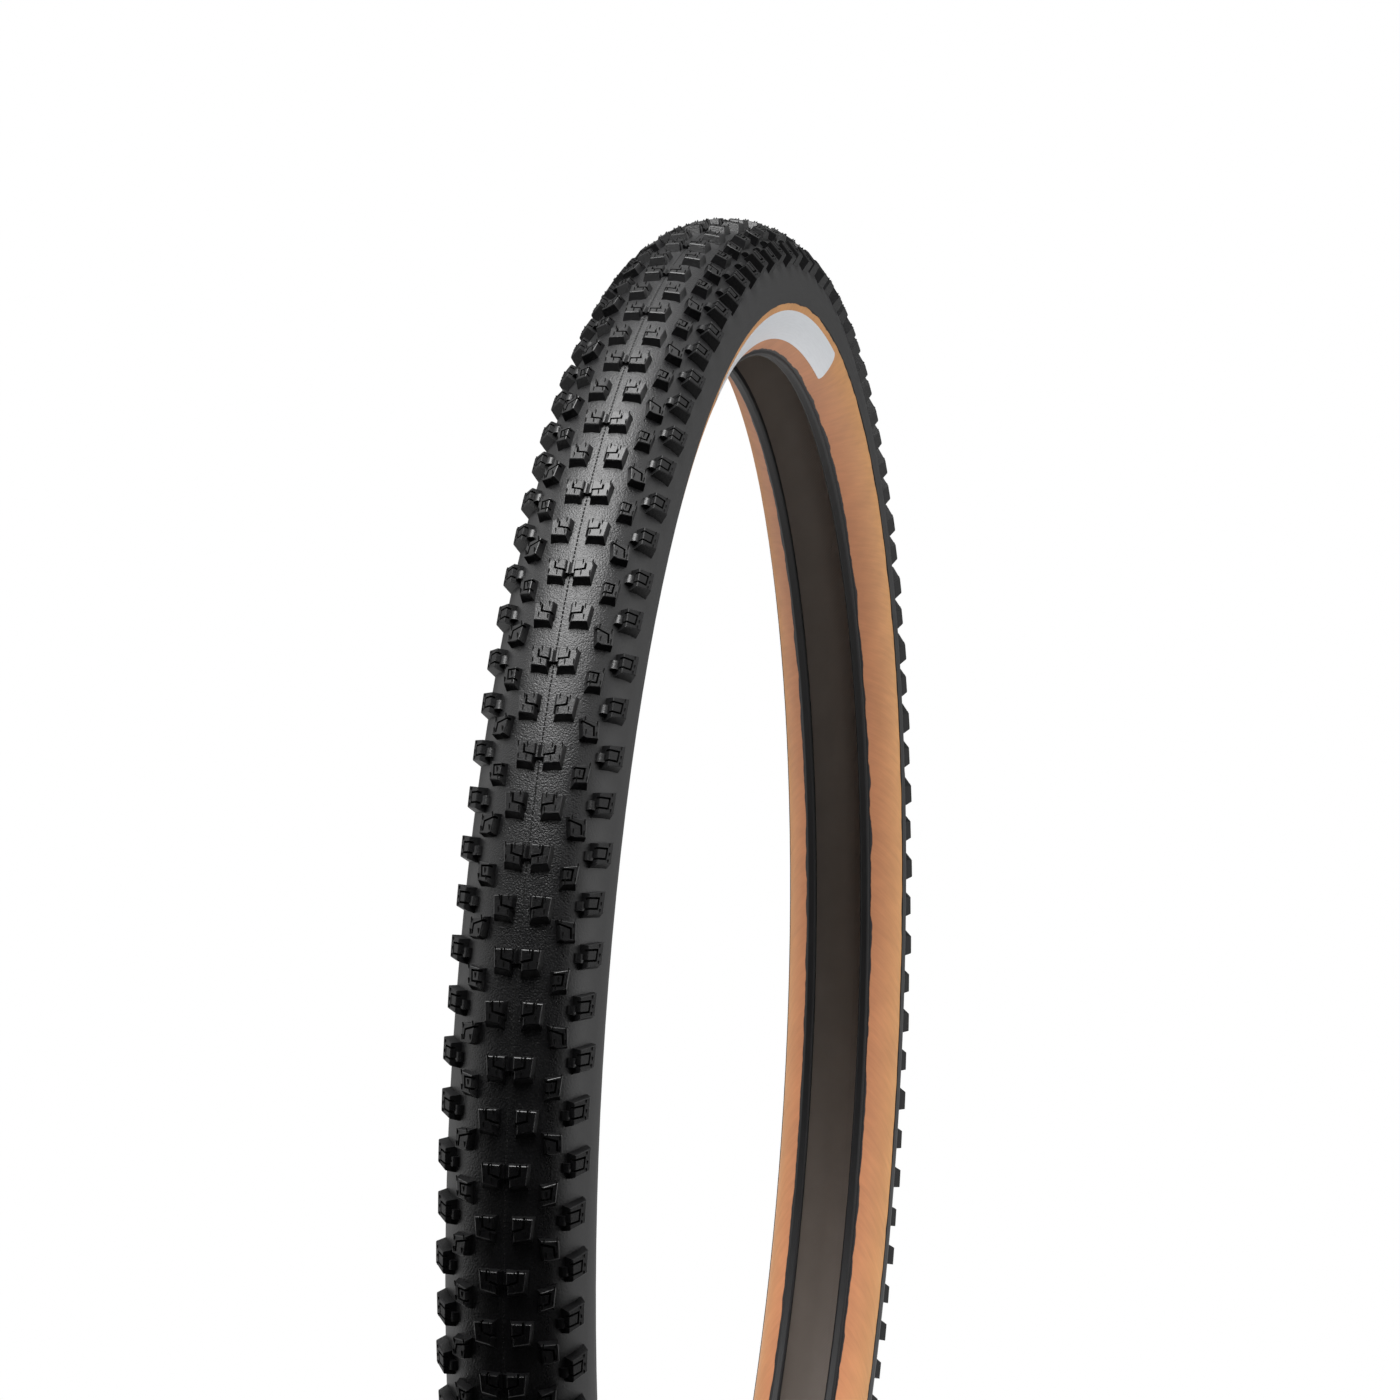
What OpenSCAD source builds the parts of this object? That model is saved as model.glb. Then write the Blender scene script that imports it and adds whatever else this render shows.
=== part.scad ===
// Folding mountain bicycle tyre with a knobbly tread, off its rim.
// The origin is the wheel's centre. The axle runs along Y, the left side is +Y, and +Z is up.
// Sections are drawn with X as the radius and Y as the distance from the middle plane.
// Angles across the section are those of the outward normal: 0 at the crown, 90 at the widest place.

/* [Casing] */
// Diameter of the rim's bead seat that the tyre fits
bead_seat_d = 622; // [580:1:640]
// Height of the tread's base at the crown above the bead seat
section_h = 54.7; // [52:0.1:58]
// Width of the casing at its widest place
casing_w = 56.4; // [54:0.1:60]
// Half of the width of the flat strip along the crown, between the two side arcs
crown_flat = 1.2; // [0.6:0.1:2.4]
// Radius of the flank below the widest place
flank_r = 32.2; // [31.4:0.1:33.4]

/* [Layers] */
// Depth of the outer rubber over the casing plies
cover_t = 1.1; // [0.9:0.05:1.6]
// How far the sidewall's face lies below the tread's face
skin_step = 0.3; // [0.1:0.05:0.45]
// Thickness of one casing ply
ply_t = 0.4; // [0.3:0.05:0.6]
// Thickness of the airtight inner liner
liner_t = 0.3; // [0.2:0.05:0.5]
// Thickness of the puncture belt under the tread
belt_t = 0.4; // [0.25:0.05:0.6]
// Angle across the section at which the puncture belt ends
belt_edge = 38; // [25:1:45]
// Angle across the section at which the tread rubber ends and the sidewall begins
tread_edge = 99; // [92:1:103]

/* [Beads] */
// Radius of the bead's bundle of aramid cord
core_r = 0.9; // [0.7:0.05:1.1]
// Thickness of the chafer strip around the bead
chafer_t = 0.8; // [0.6:0.05:1.1]
// Width of the flat seat under each bead
seat_w = 2.4; // [2:0.1:3]
// Height of the chafer's outer edge above the bead seat
chafer_h = 2.3; // [2:0.1:6]
// Height of the bead filler's upper edge above the bead seat
filler_h = 9; // [7:0.5:14]
// Height of the liner's edge above the bead seat
liner_edge_h = 5; // [4.5:0.1:8]

/* [Tread] */
// Number of times that the tread pattern repeats around the tyre
pitches = 58; // [50:2:60]
// Height of the knobs of the two middle rows
centre_h = 2.8; // [2:0.1:3.6]
// Height of the knobs between the middle and the shoulders
transition_h = 3.3; // [2:0.1:4]
// Height of the shoulder knobs
shoulder_h = 4; // [2.6:0.1:4.6]
// Draft of a knob's sides and of its trailing face
draft = 10; // [4:1:14]
// Draft of a knob's leading face
lead_draft = 30; // [10:1:34]
// Height of the tie bars between the close centre knobs
tie_h = 1.4; // [0.8:0.1:2]
// Length of a tie bar along the tread
tie_l = 5; // [3:0.1:6]
// Height of the feet on the inner side of the shoulder knobs
foot_h = 2; // [1:0.1:2.6]
// Length of a foot along the tread
foot_l = 4.6; // [3:0.1:6]
// How far a foot runs out from its knob towards the middle
foot_run = 3.4; // [2:0.1:4]

/* [Close centre knobs] */
// Angle across the section of the middle of a close centre knob
close_angle = 8.2; // [8:0.1:9]
// Width of a close centre knob's top
close_w = 7.6; // [6.5:0.1:8]
// Length of a close centre knob's top
close_l = 7.8; // [6:0.1:9]
// Place of the close centre knobs along the tread, from the start of the pitch
close_at = -1.3; // [-3:0.1:1]

/* [Wide centre knobs] */
// Angle across the section of the middle of a wide centre knob
wide_angle = 10.6; // [9.5:0.1:12]
// Width of a wide centre knob's top
wide_w = 7.8; // [6.5:0.1:8.4]
// Length of a wide centre knob's top
wide_l = 8.3; // [6:0.1:9.5]
// Place of the wide centre knobs along the tread, from the start of the pitch
wide_at = 18.9; // [17:0.1:21]

/* [Square transition knobs] */
// Angle across the section of the middle of a square transition knob
square_angle = 29.6; // [28:0.1:31]
// Width of a square transition knob's top
square_w = 6.2; // [5:0.1:7]
// Length of a square transition knob's top
square_l = 7.8; // [6:0.1:8.6]
// Place of the square transition knobs along the tread, from the start of the pitch
square_at = 26.8; // [25:0.1:28]

/* [Skewed transition knobs] */
// Angle across the section of the middle of a skewed transition knob
skewed_angle = 28.6; // [27:0.1:30]
// Width of a skewed transition knob's top
skewed_w = 6.2; // [5:0.1:7]
// Length of a skewed transition knob's top
skewed_l = 7.2; // [6:0.1:8]
// Place of the skewed transition knobs along the tread, from the start of the pitch
skewed_at = 6; // [5:0.1:7]
// How far a skewed transition knob is turned on its seat
skewed_turn = 12; // [0:1:20]

/* [Shoulder knobs] */
// Angle across the section of the middle of an outer shoulder knob
outer_angle = 55; // [53:0.1:57]
// Angle across the section of the middle of an inner shoulder knob
inner_angle = 52; // [50:0.1:54]
// Width of a shoulder knob's top
shoulder_w = 8.6; // [7:0.1:9.4]
// Length of a shoulder knob's top
shoulder_l = 8.4; // [6:0.1:9.4]
// Place of the outer shoulder knobs along the tread, from the start of the pitch
outer_at = -4.8; // [-6.5:0.1:-3]
// Place of the inner shoulder knobs along the tread, from the start of the pitch
inner_at = 15.1; // [13.5:0.1:16.5]

/* [Label] */
// Angle around the wheel from the top to the middle of the label, positive towards +X
label_at = 1.5; // [-60:0.5:60]
// Angle around the wheel that the label covers
label_span = 46; // [20:1:90]
// Angle across the section at the label's outer edge
label_from = 105; // [103:1:112]
// Angle across the section at the label's inner edge
label_to = 130; // [122:1:134]
// Radius of the label's corners
label_corner = 3.5; // [1:0.5:4]
// Thickness of the label
label_t = 0.12; // [0.06:0.02:0.2]

/* [Hidden] */
$fn = 256;

LEFT = 1;
RIGHT = -1;
bead_seat_r = bead_seat_d / 2;
crown_r = bead_seat_r + section_h;

// The bead: a cord bundle, the inner ply wrapped around it, and the chafer over that
wrap_r = core_r + ply_t;
bead_r = wrap_r + chafer_t;

// Depths below the tread's face
ply_outer_d = cover_t;
ply_inner_d = ply_outer_d + ply_t;
liner_d = ply_inner_d + ply_t;
wall_t = liner_d + liner_t;

// Each half of the section is the flat strip, the side arc and the flank arc, smoothly joined
side_r = casing_w / 2 - crown_flat;
side_at = crown_r - side_r;
flank_y = casing_w / 2 - flank_r;
// The middle of the bead lies on the outer face of the inner ply
bead_drop = side_at - bead_seat_r - bead_r;
bead_out = sqrt((flank_r - ply_inner_d) ^ 2 - bead_drop ^ 2);
bead_at = [bead_seat_r + bead_r, flank_y + bead_out];
bead_end = 90 + atan2(bead_drop, bead_out);

chafer_edge = 90 + asin((side_at - bead_seat_r - chafer_h) / flank_r);
filler_edge = 90 + asin((side_at - bead_seat_r - filler_h) / flank_r);
liner_edge = 90 + asin((side_at - bead_seat_r - liner_edge_h) / (flank_r - liner_d));

pitch_angle = 360 / pitches;
// Far enough past a face for a cut to pass through it
over = 1;

// Centre and radius of the arc that the section follows at a normal angle on the left side
function arc_at(angle) = [side_at, angle < 90 ? crown_flat : flank_y];
function arc_r(angle) = angle < 90 ? side_r : flank_r;

// Point of the section at a normal angle on the left side, x along the face and z above it
function on_face(angle, x, z) =
    arc_at(angle) + (arc_r(angle) + z) * [cos(angle), sin(angle)] + x * [-sin(angle), cos(angle)];

// Change of the normal angle over a distance across the section
function turn_of(distance, angle) = distance / arc_r(angle) * 180 / PI;

// Place across a knob, at a height above its seat, of its drafted inner face
function inner_face(wide, tall, z) = -wide / 2 - (tall - z) * tan(draft);

// Angle around the wheel of a distance along the tread
function tread_angle(distance) = distance / crown_r * 180 / PI;

// One stretch of an arc between two depths and two normal angles
module arc_sector(centre, radius, depth, thick, from, to) {
    outer = radius - depth;
    reach = outer + over;
    middle = (from + to) / 2;
    translate(centre) intersection() {
        difference() {
            circle(outer);
            circle(outer - thick);
        }
        polygon([
            [0, 0],
            reach * [cos(from), sin(from)],
            reach / cos(middle - from) * [cos(middle), sin(middle)],
            reach * [cos(to), sin(to)]
        ]);
    }
}

// The wall on the left side between two depths, from one normal angle to another
module half_wall(depth, thick, from, to) {
    if (from <= 0)
        translate([crown_r - depth - thick, 0]) square([thick, crown_flat]);
    if (from < 90)
        arc_sector([side_at, crown_flat], side_r, depth, thick, max(from, 0), min(to, 90));
    if (to > 90)
        arc_sector([side_at, flank_y], flank_r, depth, thick, max(from, 90), to);
}

// A section on the left side together with its mirror image on the right
module both_sides() {
    children();
    mirror([0, 1]) children();
}

// The wall on both sides of the crown, out to one normal angle
module full_wall(depth, thick, to) {
    both_sides() half_wall(depth, thick, 0, to);
}

// Stands a wheel that was made about Z on its tread, as it is or mirrored to the right side
module wheel_side(side) {
    rotate([-90, 0, 0]) mirror([0, 0, side == LEFT ? 0 : 1]) children();
}

// Turns a section about the axle
module turned(side = LEFT) {
    wheel_side(side) rotate_extrude() children();
}

// ---- the casing ----

module bead_disc(radius) {
    translate(bead_at) circle(radius);
}

// The outside of the bead: a square with round corners, and the seat is its lower side
module bead_outline() {
    intersection() {
        bead_disc(norm([bead_r, seat_w / 2]));
        translate(bead_at) square(2 * bead_r, center = true);
    }
}

module inner_liner() {
    color("#3e3936") turned() both_sides() difference() {
        half_wall(liner_d, liner_t, 0, liner_edge);
        bead_outline();
    }
}

module casing_ply_inner() {
    color("#a98a5c") turned() both_sides() difference() {
        union() {
            half_wall(ply_inner_d, ply_t, 0, bead_end);
            bead_disc(wrap_r);
        }
        bead_disc(core_r);
    }
}

module casing_ply_outer() {
    color("#b3946a") turned() full_wall(ply_outer_d, ply_t, filler_edge);
}

module puncture_belt() {
    color("#8f8f86") turned() full_wall(ply_outer_d - belt_t, belt_t, belt_edge);
}

module bead_core(side) {
    color("#c9a94a") turned(side) bead_disc(core_r);
}

module bead_filler(side) {
    color("#2b2b2b") turned(side) difference() {
        half_wall(ply_outer_d, ply_t, filler_edge, bead_end);
        bead_disc(wrap_r);
    }
}

// The chafer strip goes round the bead and runs up the flank
module chafer(side) {
    color("#232324") turned(side) difference() {
        union() {
            bead_outline();
            half_wall(skin_step, ply_outer_d - skin_step, chafer_edge, bead_end);
        }
        bead_disc(wrap_r);
        half_wall(ply_outer_d, wall_t - ply_outer_d, 90, bead_end);
    }
}

module sidewall(side) {
    color("#bf8f5d") turned(side) difference() {
        half_wall(skin_step, ply_outer_d - skin_step, tread_edge, chafer_edge);
        bead_outline();
    }
}

// ---- the tread ----

module tread_base() {
    color("#2a2a2b") turned() difference() {
        full_wall(0, cover_t, tread_edge);
        full_wall(ply_outer_d - belt_t, belt_t + over, belt_edge);
    }
}

// A block with drafted faces, z outwards and y along the tread; its top face is at z = tall
module drafted_block(wide, long, tall, turn) {
    low = -over;
    high = tall + over;
    function grow(z, angle) = (tall - z) * tan(angle);
    rotate([0, 0, turn]) intersection() {
        rotate([90, 0, 0]) linear_extrude(2 * long, center = true) polygon([
            [-wide / 2 - grow(low, draft), low], [wide / 2 + grow(low, draft), low],
            [wide / 2 + grow(high, draft), high], [-wide / 2 - grow(high, draft), high]
        ]);
        rotate([90, 0, 90]) linear_extrude(2 * wide, center = true) polygon([
            [-long / 2 - grow(low, draft), low], [long / 2 + grow(low, lead_draft), low],
            [long / 2 + grow(high, lead_draft), high], [-long / 2 - grow(high, draft), high]
        ]);
    }
}

// Copies its children around the wheel, once in each pitch of the tread
module each_pitch(at) {
    for (i = [0 : pitches - 1])
        rotate([0, 0, -i * pitch_angle - tread_angle(at)]) children();
}

// A piece of the section, drawn in place and given a length along the tread, once in each pitch
module each_pitch_profile(at, long) {
    each_pitch(at) rotate([90, 0, 0]) linear_extrude(long, center = true) children();
}

// A ring of knobs on the tread's base: drafted blocks trimmed to the curve of the tyre
module knob_ring(side, angle, at, wide, long, tall, turn = 0) {
    reach = turn_of(wide, angle);
    seat = on_face(angle, 0, 0);
    wheel_side(side) intersection() {
        rotate_extrude() half_wall(-tall, tall, angle - reach, angle + reach);
        each_pitch(at) translate([seat.x, 0, seat.y])
            rotate([0, 90 - angle, 0]) rotate([0, 0, 180]) drafted_block(wide, long, tall, turn);
    }
}

module centre_knobs_close(side) {
    color("#2d2d2e") knob_ring(side, close_angle, close_at, close_w, close_l, centre_h);
}

module centre_knobs_wide(side) {
    color("#2d2d2e") knob_ring(side, wide_angle, wide_at, wide_w, wide_l, centre_h);
}

// The tie bars fill the space between the drafted inner faces of the close centre knobs
module centre_tie_bars() {
    function face(z) = on_face(close_angle, inner_face(close_w, centre_h, z), z);
    low = face(-over);
    high = face(tie_h + over);
    color("#29292a") rotate([-90, 0, 0]) intersection() {
        rotate_extrude() full_wall(-tie_h, tie_h, close_angle);
        each_pitch_profile(close_at, tie_l)
            polygon([low, high, [high.x, -high.y], [low.x, -low.y]]);
    }
}

module transition_knobs_square(side) {
    color("#2b2b2c") knob_ring(side, square_angle, square_at, square_w, square_l, transition_h);
}

module transition_knobs_skewed(side) {
    color("#2b2b2c")
        knob_ring(side, skewed_angle, skewed_at, skewed_w, skewed_l, transition_h, skewed_turn);
}

// A foot is a ramp that runs from a shoulder knob's inner face down to the tread's base
module foot_ring(side, angle, at) {
    function face(z) = on_face(angle, inner_face(shoulder_w, shoulder_h, z), z);
    toe = angle + turn_of(inner_face(shoulder_w, shoulder_h, 0) - foot_run, angle);
    wheel_side(side) intersection() {
        rotate_extrude() half_wall(-foot_h - over, foot_h + over, 0, angle);
        each_pitch_profile(at, foot_l)
            polygon([face(-over), face(foot_h), on_face(toe, 0, 0), on_face(toe, 0, -over)]);
    }
}

module shoulder_knobs(side, angle, at) {
    color("#29292a") {
        knob_ring(side, angle, at, shoulder_w, shoulder_l, shoulder_h);
        foot_ring(side, angle, at);
    }
}

module shoulder_knobs_outer(side) {
    shoulder_knobs(side, outer_angle, outer_at);
}

module shoulder_knobs_inner(side) {
    shoulder_knobs(side, inner_angle, inner_at);
}

// ---- the label ----

// The label lies on the right sidewall, across the top, and its corners are round
module sidewall_label() {
    corner_turn = turn_of(label_corner, label_from);
    corner_span = label_corner / on_face(label_to, 0, 0).x * 180 / PI;
    reach = label_corner + over;
    // What is left of a square corner outside a round one, at an end of the label
    module corner_cut(end, across, way) {
        seat = on_face(across, 0, 0);
        rotate([0, 0, end * (label_span / 2 - corner_span)]) translate([seat.x, 0, seat.y])
            rotate([0, 90 - across, 0]) linear_extrude(2 * over, center = true) difference() {
                polygon([[0, 0], [way * reach, 0], [way * reach, end * reach], [0, end * reach]]);
                circle(label_corner);
            }
    }
    color("#cdcfd0") wheel_side(RIGHT) rotate([0, 0, label_at - 90]) difference() {
        rotate([0, 0, -label_span / 2]) rotate_extrude(angle = label_span)
            half_wall(skin_step - label_t, label_t, label_from, label_to);
        for (end = [-1, 1]) {
            corner_cut(end, label_from + corner_turn, 1);
            corner_cut(end, label_to - corner_turn, -1);
        }
    }
}

inner_liner();
casing_ply_inner();
casing_ply_outer();
puncture_belt();
bead_core(LEFT);  // bead_core_left
bead_core(RIGHT);  // bead_core_right
bead_filler(LEFT);  // bead_filler_left
bead_filler(RIGHT);  // bead_filler_right
chafer(LEFT);  // chafer_left
chafer(RIGHT);  // chafer_right
sidewall(LEFT);  // sidewall_left
sidewall(RIGHT);  // sidewall_right
tread_base();
centre_knobs_close(LEFT);  // centre_knobs_close_left
centre_knobs_close(RIGHT);  // centre_knobs_close_right
centre_tie_bars();
centre_knobs_wide(LEFT);  // centre_knobs_wide_left
centre_knobs_wide(RIGHT);  // centre_knobs_wide_right
transition_knobs_square(LEFT);  // transition_knobs_square_left
transition_knobs_square(RIGHT);  // transition_knobs_square_right
transition_knobs_skewed(LEFT);  // transition_knobs_skewed_left
transition_knobs_skewed(RIGHT);  // transition_knobs_skewed_right
shoulder_knobs_outer(LEFT);  // shoulder_knobs_outer_left
shoulder_knobs_outer(RIGHT);  // shoulder_knobs_outer_right
shoulder_knobs_inner(LEFT);  // shoulder_knobs_inner_left
shoulder_knobs_inner(RIGHT);  // shoulder_knobs_inner_right
sidewall_label();
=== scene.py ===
# Mountain bicycle tyre with a knobbly black tread, tan sidewalls and folding beads, off its rim.
# The axle runs along Y with the left side at +Y, and +Z is up. Sizes are given in millimetres, and
# the studio's in metres.
from math import cos, pi, radians, sin, tan

import bmesh
import bpy
from mathutils import Matrix, Vector


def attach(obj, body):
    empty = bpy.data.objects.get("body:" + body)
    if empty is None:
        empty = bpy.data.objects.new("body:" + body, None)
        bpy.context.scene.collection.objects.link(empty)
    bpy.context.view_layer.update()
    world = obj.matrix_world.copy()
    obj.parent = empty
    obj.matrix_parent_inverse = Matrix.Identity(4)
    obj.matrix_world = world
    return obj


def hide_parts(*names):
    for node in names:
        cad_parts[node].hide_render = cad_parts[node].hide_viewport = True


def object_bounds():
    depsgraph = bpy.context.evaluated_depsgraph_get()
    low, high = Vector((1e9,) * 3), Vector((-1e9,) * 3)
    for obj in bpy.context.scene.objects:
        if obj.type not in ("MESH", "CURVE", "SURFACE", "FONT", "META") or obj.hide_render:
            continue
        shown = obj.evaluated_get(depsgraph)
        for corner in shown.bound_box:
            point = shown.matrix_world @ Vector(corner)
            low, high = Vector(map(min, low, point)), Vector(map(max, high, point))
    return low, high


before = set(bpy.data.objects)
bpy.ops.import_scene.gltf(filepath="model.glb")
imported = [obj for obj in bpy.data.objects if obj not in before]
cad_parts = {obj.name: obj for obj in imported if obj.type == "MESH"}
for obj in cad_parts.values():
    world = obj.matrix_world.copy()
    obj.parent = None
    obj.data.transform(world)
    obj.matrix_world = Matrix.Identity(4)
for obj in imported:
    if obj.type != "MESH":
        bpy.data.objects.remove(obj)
cad_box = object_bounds()


# ---- Bead cores ----
# A folding tyre has no steel in its beads. Each core is a bundle of twisted aramid yarn,
# wound round and round and buried in the fold of the inner ply.

mm = 0.001
# A wave texture of scale 1 repeats after this length
wave_run = 0.314
# A colour mix takes its two colours on the first two of these sockets and gives the blend on the third
under, over, blend = 6, 7, 2


def paint(code):
    """Turns an sRGB hex colour into the linear one that the shaders take."""
    def linear(part):
        return part / 12.92 if part <= 0.04045 else ((part + 0.055) / 1.055) ** 2.4
    return [linear(int(code[i:i + 2], 16) / 255) for i in (1, 3, 5)] + [1.0]


def node(finish, kind, inputs=None, **settings):
    """Adds a node to a finish, gives it its settings, and sets or links its inputs."""
    made = finish.node_tree.nodes.new(kind)
    for name, value in settings.items():
        setattr(made, name, value)
    for name, value in (inputs or {}).items():
        if isinstance(value, bpy.types.NodeSocket):
            finish.node_tree.links.new(value, made.inputs[name])
        else:
            made.inputs[name].default_value = value
    return made


def new_finish(name):
    """Makes an empty finish whose output takes the surface that is built next."""
    finish = bpy.data.materials.new(name)
    finish.use_nodes = True
    finish.node_tree.nodes.clear()
    return finish


def close_finish(finish, shader):
    """Joins a finished shader to the finish's output."""
    node(finish, "ShaderNodeOutputMaterial", {"Surface": shader.outputs[0]})


def coat(finish, *pieces):
    """Gives CAD pieces their finish."""
    for piece in pieces:
        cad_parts[piece].data.materials[0] = finish


def tyre_places(finish, radius):
    """Gives places on the tyre in mm: along its turn, across from its middle, and out from its axle.

    The turn is measured at a radius and from the top, so its ends meet where the tyre stands.
    """
    place = node(finish, "ShaderNodeTexCoord").outputs["Object"]
    parts = node(finish, "ShaderNodeSeparateXYZ", {"Vector": place})
    turn = node(finish, "ShaderNodeMath", {0: parts.outputs["X"], 1: parts.outputs["Z"]},
                operation="ARCTAN2")
    along = node(finish, "ShaderNodeMath", {0: turn.outputs[0], 1: radius}, operation="MULTIPLY")
    across = node(finish, "ShaderNodeMath", {0: parts.outputs["Y"], 1: 1 / mm}, operation="MULTIPLY")
    flat = node(finish, "ShaderNodeCombineXYZ", {"X": parts.outputs["X"], "Y": parts.outputs["Z"]})
    length = node(finish, "ShaderNodeVectorMath", {0: flat.outputs[0]}, operation="LENGTH")
    out = node(finish, "ShaderNodeMath", {0: length.outputs["Value"], 1: 1 / mm}, operation="MULTIPLY")
    return along.outputs[0], across.outputs[0], out.outputs[0]


# Aramid is straw yellow and a little glossy. Its yarns are 0.7 mm thick and run at a slant.
core_radius = 312.0
yarn_thick = 0.7
yarn_slant = 0.6
aramid = new_finish("twisted aramid yarn")
along, across, out = tyre_places(aramid, core_radius)
strands = node(aramid, "ShaderNodeCombineXYZ", {"X": along, "Y": across, "Z": out})
lay = node(aramid, "ShaderNodeMapping", {"Vector": strands.outputs[0],
           "Rotation": (0.0, yarn_slant, yarn_slant)})
yarn = node(aramid, "ShaderNodeTexWave", {"Vector": lay.outputs[0], "Scale": wave_run / yarn_thick,
            "Distortion": 0.6})
straw = node(aramid, "ShaderNodeMix", {"Factor": yarn.outputs["Fac"], under: paint("#a98432"),
             over: paint("#d3b25c")}, data_type="RGBA")
relief = node(aramid, "ShaderNodeBump", {"Height": yarn.outputs["Fac"], "Strength": 0.6,
              "Distance": 0.0002})
close_finish(aramid, node(aramid, "ShaderNodeBsdfPrincipled", {
    "Base Color": straw.outputs[blend], "Roughness": 0.45, "Normal": relief.outputs[0]}))
coat(aramid, "bead_core_left", "bead_core_right")


# ---- Casing plies ----
# Two plies of fine parallel nylon cord, dipped in tan rubber and laid at 45 degrees to the turn.
# The inner one folds round each bead, and the outer one lies over it from bead to bead.

# The cords lie 0.42 mm apart, 60 to the inch, and the dip leaves them satin.
ply_radius = 340.0
cord_gap = 0.42
dip_patch = 6.0
ply_slant = {"casing_ply_inner": 45, "casing_ply_outer": -45}
for ply, slant in ply_slant.items():
    cord = new_finish("dipped nylon cord, laid at %d degrees" % slant)
    along, across, _ = tyre_places(cord, ply_radius)
    sheet = node(cord, "ShaderNodeCombineXYZ", {"X": along, "Y": across})
    lay = node(cord, "ShaderNodeMapping", {"Vector": sheet.outputs[0],
               "Rotation": (0.0, 0.0, radians(slant))})
    rows = node(cord, "ShaderNodeTexWave", {"Vector": lay.outputs[0], "Scale": wave_run / cord_gap})
    dip = node(cord, "ShaderNodeTexNoise", {"Vector": sheet.outputs[0], "Scale": 1 / dip_patch,
               "Detail": 4.0})
    shade = node(cord, "ShaderNodeMath", {0: rows.outputs["Fac"], 1: dip.outputs["Fac"]},
                 operation="MULTIPLY")
    tint = node(cord, "ShaderNodeMix", {"Factor": shade.outputs[0], under: paint("#8e6b45"),
                over: paint("#c9a274")}, data_type="RGBA")
    relief = node(cord, "ShaderNodeBump", {"Height": rows.outputs["Fac"], "Strength": 0.5,
                  "Distance": 0.0001})
    close_finish(cord, node(cord, "ShaderNodeBsdfPrincipled", {
        "Base Color": tint.outputs[blend], "Roughness": 0.6, "Normal": relief.outputs[0]}))
    coat(cord, ply)


# ---- Bead fillers ----
# A strip of hard black rubber, extruded to a thin wedge, lies on the inner ply above each bead
# and stiffens the flank there.

# The die leaves lines 0.5 mm wide along the strip, and the talc on it leaves it dull.
filler_radius = 315.0
die_long, die_wide = 50.0, 0.5
extruded = new_finish("extruded filler rubber")
along, across, out = tyre_places(extruded, filler_radius)
drawn = node(extruded, "ShaderNodeCombineXYZ", {"X": along, "Y": across, "Z": out})
die = node(extruded, "ShaderNodeMapping", {"Vector": drawn.outputs[0],
           "Scale": (1 / die_long, 1 / die_wide, 1 / die_wide)})
lines = node(extruded, "ShaderNodeTexNoise", {"Vector": die.outputs[0], "Scale": 1.0, "Detail": 3.0})
talc = node(extruded, "ShaderNodeMix", {"Factor": lines.outputs["Fac"], under: paint("#242424"),
            over: paint("#34332f")}, data_type="RGBA")
relief = node(extruded, "ShaderNodeBump", {"Height": lines.outputs["Fac"], "Strength": 0.3,
              "Distance": 0.0001})
close_finish(extruded, node(extruded, "ShaderNodeBsdfPrincipled", {
    "Base Color": talc.outputs[blend], "Roughness": 0.7, "Normal": relief.outputs[0]}))
coat(extruded, "bead_filler_left", "bead_filler_right")


# ---- Puncture belt ----
# A band of tight nylon weave lies between the plies and the tread rubber, and stops thorns.
# It is cut from woven cloth and laid onto the casing before the tread strip.

# The weave is grey, with a warp and a weft 0.8 mm apart that cross square on.
belt_radius = 364.0
thread_gap = 0.8
weave = new_finish("tight nylon weave")
along, across, _ = tyre_places(weave, belt_radius)
cloth = node(weave, "ShaderNodeCombineXYZ", {"X": along, "Y": across})
warp = node(weave, "ShaderNodeTexWave", {"Vector": cloth.outputs[0], "Scale": wave_run / thread_gap})
weft = node(weave, "ShaderNodeTexWave", {"Vector": cloth.outputs[0], "Scale": wave_run / thread_gap},
            bands_direction="Y")
thread = node(weave, "ShaderNodeMath", {0: warp.outputs["Fac"], 1: weft.outputs["Fac"]},
              operation="MULTIPLY")
grey = node(weave, "ShaderNodeMix", {"Factor": thread.outputs[0], under: paint("#6f6f68"),
            over: paint("#a5a59b")}, data_type="RGBA")
relief = node(weave, "ShaderNodeBump", {"Height": thread.outputs[0], "Strength": 0.5,
              "Distance": 0.0001})
close_finish(weave, node(weave, "ShaderNodeBsdfPrincipled", {
    "Base Color": grey.outputs[blend], "Roughness": 0.65, "Normal": relief.outputs[0]}))
coat(weave, "puncture_belt")


# ---- Inner liner ----
# A thin sheet of butyl rubber covers the inside and keeps the air in without a tube.
# The curing bladder presses it on, so the cords behind it show through as faint ribs.

# The butyl is grey-brown and nearly matt, blotched at random, and is painted lighter than that as
# painted fill light inside the tyre. The ribs are as fine as the cords, 0.42 mm, and are drawn 1.1 mm
# apart so that they show.
liner_radius = 340.0
rib_gap = 1.1
blotch_patch = 18.0
butyl = new_finish("bladder-pressed butyl")
along, across, out = tyre_places(butyl, liner_radius)
sheet = node(butyl, "ShaderNodeCombineXYZ", {"X": along, "Y": across, "Z": out})
lay = node(butyl, "ShaderNodeMapping", {"Vector": sheet.outputs[0],
           "Rotation": (0.0, 0.0, radians(45))})
ribs = node(butyl, "ShaderNodeTexWave", {"Vector": lay.outputs[0], "Scale": wave_run / rib_gap,
            "Distortion": 0.4})
butyl_blotch = node(butyl, "ShaderNodeTexNoise", {"Vector": sheet.outputs[0], "Scale": 1 / blotch_patch,
              "Detail": 5.0})
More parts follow.
